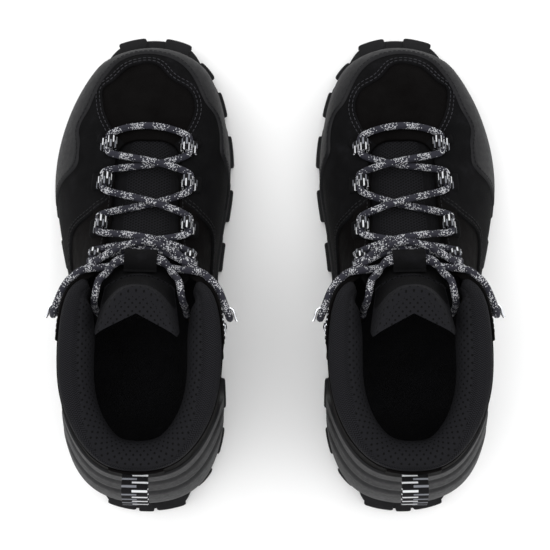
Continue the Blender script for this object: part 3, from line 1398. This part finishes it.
def collar(build):
    p, t, knots = collar_grid()
    uv = arc_uv(p, (False, True))
    columns = np.arange(COLLAR_ACROSS)
    reach = smooth(np.abs(t[:, 0] - HEEL), 0.6, 2.4)
    turns = COLLAR_ACROSS / len(COLLAR_SECTION)
    seam = (2.2 + 2.3 * reach) * turns
    core = p.mean(1, keepdims=True)
    dent = 1.3 * np.exp(-((columns[None] - seam[:, None]) / 0.7) ** 2)
    p = p + unit(core - p) * dent[..., None]
    build.grid(p, uv, wrap=(False, True))
    build.fan(p[0], flip=True)
    build.fan(p[-1])
    build.slots[-3] = (columns[None] < seam[:-1, None]).astype(int).ravel()
    held = np.broadcast_to((knots[:, 3] < 0.9)[None], p.shape[:2]).copy()
    held |= np.abs(columns[None] - seam[:, None]) < 1.2
    held[:3] = held[-3:] = True
    return np.append(held.ravel(), np.ones(2 * COLLAR_ACROSS + 2, bool))


def tongue_pad(q, w):
    deep = mix(4, 10, smooth(q, 0.3, 0.72)) + 5.5 * smooth(q, 0.74, 0.86)
    return deep * (1 - 0.45 * w * w) * (1 - 0.45 * smooth(q, 0.93, 1))


def tongue_grid(q0, q1, rows, columns):
    """Front over the side to the back and round again: a closed section at every row."""
    q = np.linspace(q0, q1, rows)[:, None]
    a = np.linspace(0, 2 * math.pi, columns + 1)[None, :-1]
    w = np.sign(np.cos(a)) * np.abs(np.cos(a)) ** 0.9
    front = 0.5 + 0.5 * np.sign(np.sin(a)) * np.abs(np.sin(a)) ** 0.7
    depth = tongue_pad(q, w) * (1 - front)
    p = tongue_point(q + 0 * w, w + 0 * q, depth)
    return p, q, w, front


def tongue_body(build):
    p, q, w, front = tongue_grid(0.0, 0.7345, 120, 72)
    _, _, out = tongue_axes(q[:, 0])
    seam = 0.9 * np.exp(-(w * 24 / 1.3) ** 2) * (front > 0.5) * (q < 0.54)
    ribs = 0.6 * np.exp(-((np.abs(w) - 0.62) * 24 / 1.2) ** 2) * (front > 0.5)
    p = p - out[:, None] * (seam + ribs)[..., None]
    build.grid(p, arc_uv(p, (False, True)), wrap=(False, True), flip=True)
    build.fan(p[0], flip=False)
    build.fan(p[-1], flip=True)
    is_front = front[0] > 0.5
    zone = np.where(q[:-1] > 0.535, 1, np.where(np.abs(w[0])[None] > 0.6, 2, 0))
    build.slots[-3] = np.where(is_front[None], zone, 2).ravel()


def tongue_flap(build):
    p, q, w, front = tongue_grid(0.7362, 1.0, 60, 96)
    k = (q - q[0]) / (q[-1] - q[0])
    end = roll(np.minimum(k, 1 - k) * 44, 5.0)
    middle = p.mean(1, keepdims=True)
    _, _, out = tongue_axes(q[:, 0])
    flat = ((p - middle) * out[:, None]).sum(-1, keepdims=True)
    p = p - out[:, None] * flat * (1 - mix(0.35, 1, end))[:, None]
    p[..., 0] *= mix(0.9, 1.0, end) * mix(1.0, FLAP_SPREAD, smooth(k, 0, 0.5))
    p[..., 1] += FLAP_WRAP * np.abs(w) ** 3 * smooth(k, 0, 0.5)
    build.grid(p, arc_uv(p, (False, True)), wrap=(False, True), flip=True)
    build.fan(p[0], flip=False)
    build.fan(p[-1], flip=True)
    face = (front[0] > 0.72)[None] & (k[:-1] < 0.7 - 0.5 * w[0] ** 2)
    build.slots[-3] = face.astype(int).ravel()
    held = np.broadcast_to((k < 0.08) | (k > 0.97), p.shape[:2])
    return np.append(held.ravel(), np.ones(2 * p.shape[1] + 2, bool))


collars = piece("padded_collar", collar, ["lining", "chevron"], nodes=["collar"], sharp=80,
                swell=3)
tongues = piece("tongue_body", tongue_body, ["mesh", "suede", "weave"], nodes=["tongue"],
                sharp=70)
flaps = piece("tongue_top", tongue_flap, ["lining", "suede"], body="tongue_flap_body", nodes=["tongue_flap"],
              sharp=80, swell=2.5)


def gusset_grid(sign):
    """Cloth from the tongue's side to the inside of the throat, folded down between them."""
    q = np.linspace(0.04, 0.7, 70)[:, None]
    k = np.linspace(0, 1, 22)[None]
    s = MIDDLE - tongue_line(q[:, 0] * (len(TONGUE) - 1))[:, 1]
    stations = np.linspace(1.2, 9, 400)
    edge_s = MIDDLE - edge(stations)[:, 1]
    t = np.interp(-s, -edge_s, stations)[:, None]
    _, _, out = tongue_axes(q[:, 0])
    near = tongue_point(q, sign * 0.93, 1.6)
    far = off_upper(sign * t, 0.94 + 0 * t, -WALL - 0.9)
    p = mix(near, far, k[..., None])
    hang = np.sin(math.pi * k)
    sag = 4.2 * hang * smooth(q, 0.0, 0.15) + 0.9 * np.sin(3 * math.pi * k + 5 * q) * hang
    return p - out[:, None] * sag[..., None]


def gusset(build, sign):
    p = gusset_grid(sign)
    along, across = np.gradient(p, axis=0), np.gradient(p, axis=1)
    n = unit(np.cross(along, across))
    uv = arc_uv(p)
    build.grid(p + n * 0.3, uv)
    build.grid(p - n * 0.3, uv, flip=True)
    for edge_, way in ((0, True), (-1, False)):
        build.grid(np.stack([(p + n * 0.3)[edge_], (p - n * 0.3)[edge_]], 0), flip=way)
        build.grid(np.stack([(p + n * 0.3)[:, edge_], (p - n * 0.3)[:, edge_]], 0), flip=not way)


def cloth_size(p):
    """Greatest width and length of a grid of cloth, and its area, in metres."""
    a, b = np.diff(p, axis=0), np.diff(p, axis=1)
    area = np.linalg.norm(np.cross(a[:, :-1], b[:-1]), axis=-1).sum() * MM ** 2
    wide = np.linalg.norm(b, axis=-1).sum(1).max() * MM
    long = np.linalg.norm(a, axis=-1).sum(0).max() * MM
    return (wide, long), area


for sign, word in ((1, "outer"), (-1, "inner")):
    flat, area = cloth_size(gusset_grid(sign))
    for obj in piece(f"gusset_{word}", lambda b: gusset(b, sign), ["weave"], sharp=80):
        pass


def keeper(build):
    low = 0.65 + KEEPER["wall"] / 2
    high = low + LACE + 2 * LACE_EASE + KEEPER["wall"] / 2
    f = 0.022
    spots = [(KEEPER["from"], low), (KEEPER["from"] + f, low), (KEEPER["from"] + 1.6 * f, high),
             (KEEPER["to"] - 1.6 * f, high), (KEEPER["to"] - f, low), (KEEPER["to"], low)]
    points = []
    for q, lift in spots:
        d = tongue_seat(q, lift)[0] - keeper_seat[0]
        points.append([d @ keeper_seat[1], d @ keeper_seat[2]])
    strap(build, refine(points, 0.7), KEEPER["width"], KEEPER["wall"], keeper_seat, corner=0.5)


piece("keeper_patch", keeper, ["suede"], nodes=["lace_keeper"])


# ---- webbing, metal, lace ----

for side, word in ((1, "outer"), (-1, "inner")):
    for row in range(len(ROWS)):
        piece(f"webbing_{word}_{row + 1}", lambda b: lace_loop(b, row, side), ["loop"],
              nodes=[f"loop_{word}_{row + 1}"])
    piece(f"speed_hook_{word}", lambda b: lace_hook(b, side), ["steel"], nodes=[f"hook_{word}"],
          sharp=30)
piece("pull_strap", pull_loop, ["pull"], body="pull_loop_body", nodes=["pull_loop"])

path = lace_path()


def aglet(build, end):
    tip = path[-1] if end > 0 else path[0]
    way = tip - (path[-4] if end > 0 else path[3])
    way = way / np.linalg.norm(way)
    along = np.array([-1.5, 0.0, 0.3, 1.2, 2.0, 2.8, 9, 17, 18.8, 19.6, 20.0])
    radius = np.array([2.0, 2.05, 1.95, 1.95, 1.8, 1.95, 1.85, 1.65, 1.5, 1.1, 0.5])
    add_tube(build, tip + way * along[:, None], radius, 16)


tips = {1: piece("lace_tip_outer", lambda b: aglet(b, 1), ["film"], nodes=["aglet_outer"]),
        -1: piece("lace_tip_inner", lambda b: aglet(b, -1), ["film"], nodes=["aglet_inner"])}
laces = piece("round_lace", lambda b: add_tube(b, path, LACE / 2, 14), ["lace"], nodes=["lace"],
              sharp=80)
for i, side in enumerate((1, -1)):
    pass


# ---- stitches ----

def sewing(build):
    """Grey double row round the toe window, and single black rows along the other edges."""
    t = np.linspace(-2.02, 2.02, 400)
    for inset in (-1.6, -4.0):
        stitch(build, *surface_line(t, window(t), inset), 1.3, slot=0)
    t = np.linspace(-4.4, 4.4, 400)
    stitch(build, *surface_line(t, rand_top(t), -2.2), 2.7, slot=1)
    for sign in (1, -1):
        t = np.linspace(4.4, 8.2, 200)
        for inset in (-1.8, -4.2):
            stitch(build, *surface_line(sign * t, suede_top(t), sign * inset), 1.4, slot=1)
        t = np.linspace(4.2, 8.9, 200)
        stitch(build, *surface_line(sign * t, 0.975 + 0 * t, 0), 1.3, slot=1)


piece("sewing", sewing, ["grey_thread", "black_thread"], sharp=180)

for word in ("left", "right"):
    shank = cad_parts[f"{word}_shank"]
    shank.data.materials.clear()
    shank.data.materials.append(MAT["steel"])


# ---- stage ----

FLOOR = 3


def floor():
    mesh = bpy.data.meshes.new("floor")
    corners = [(x * FLOOR, y * FLOOR, -0.0006) for x, y in ((-1, -1), (1, -1), (1, 1), (-1, 1))]
    mesh.from_pydata(corners, [], [(0, 1, 2, 3)])
    f = Finish("floor_paper_matte", "#fafafa", 0.9)
    mesh.materials.append(f.material)
    obj = bpy.data.objects.new("floor", mesh)
    bpy.context.scene.collection.objects.link(obj)


def area_light(name, place, size, power, target=(0, 0, 0)):
    data = bpy.data.lights.new(name, "AREA")
    data.size = size
    data.energy = power
    obj = bpy.data.objects.new(name, data)
    obj.location = place
    way = np.array(target, float) - np.array(place, float)
    obj.rotation_euler = Vector(way).to_track_quat("-Z", "Y").to_euler()
    bpy.context.scene.collection.objects.link(obj)


def camera():
    data = bpy.data.cameras.new("camera")
    data.angle = 2 * math.atan(0.1748 / 1.4)
    obj = bpy.data.objects.new("camera", data)
    obj.location = (0, 0, 1.4)
    obj.rotation_euler = (0, 0, math.pi)
    bpy.context.scene.collection.objects.link(obj)
    bpy.context.scene.camera = obj


floor()
camera()
area_light("overhead", (0.25, -0.5, 2.2), 2.4, 33)
area_light("left_fill", (1.7, 0.2, 0.9), 1.4, 4)
area_light("right_fill", (-1.7, 0.2, 0.9), 1.4, 4)
world = bpy.data.worlds.new("studio")
world.use_nodes = True
world.node_tree.nodes["Background"].inputs["Color"].default_value = colour("#ffffff")
world.node_tree.nodes["Background"].inputs["Strength"].default_value = 1.0
bpy.context.scene.world = world
bpy.context.scene.view_settings.view_transform = "Standard"
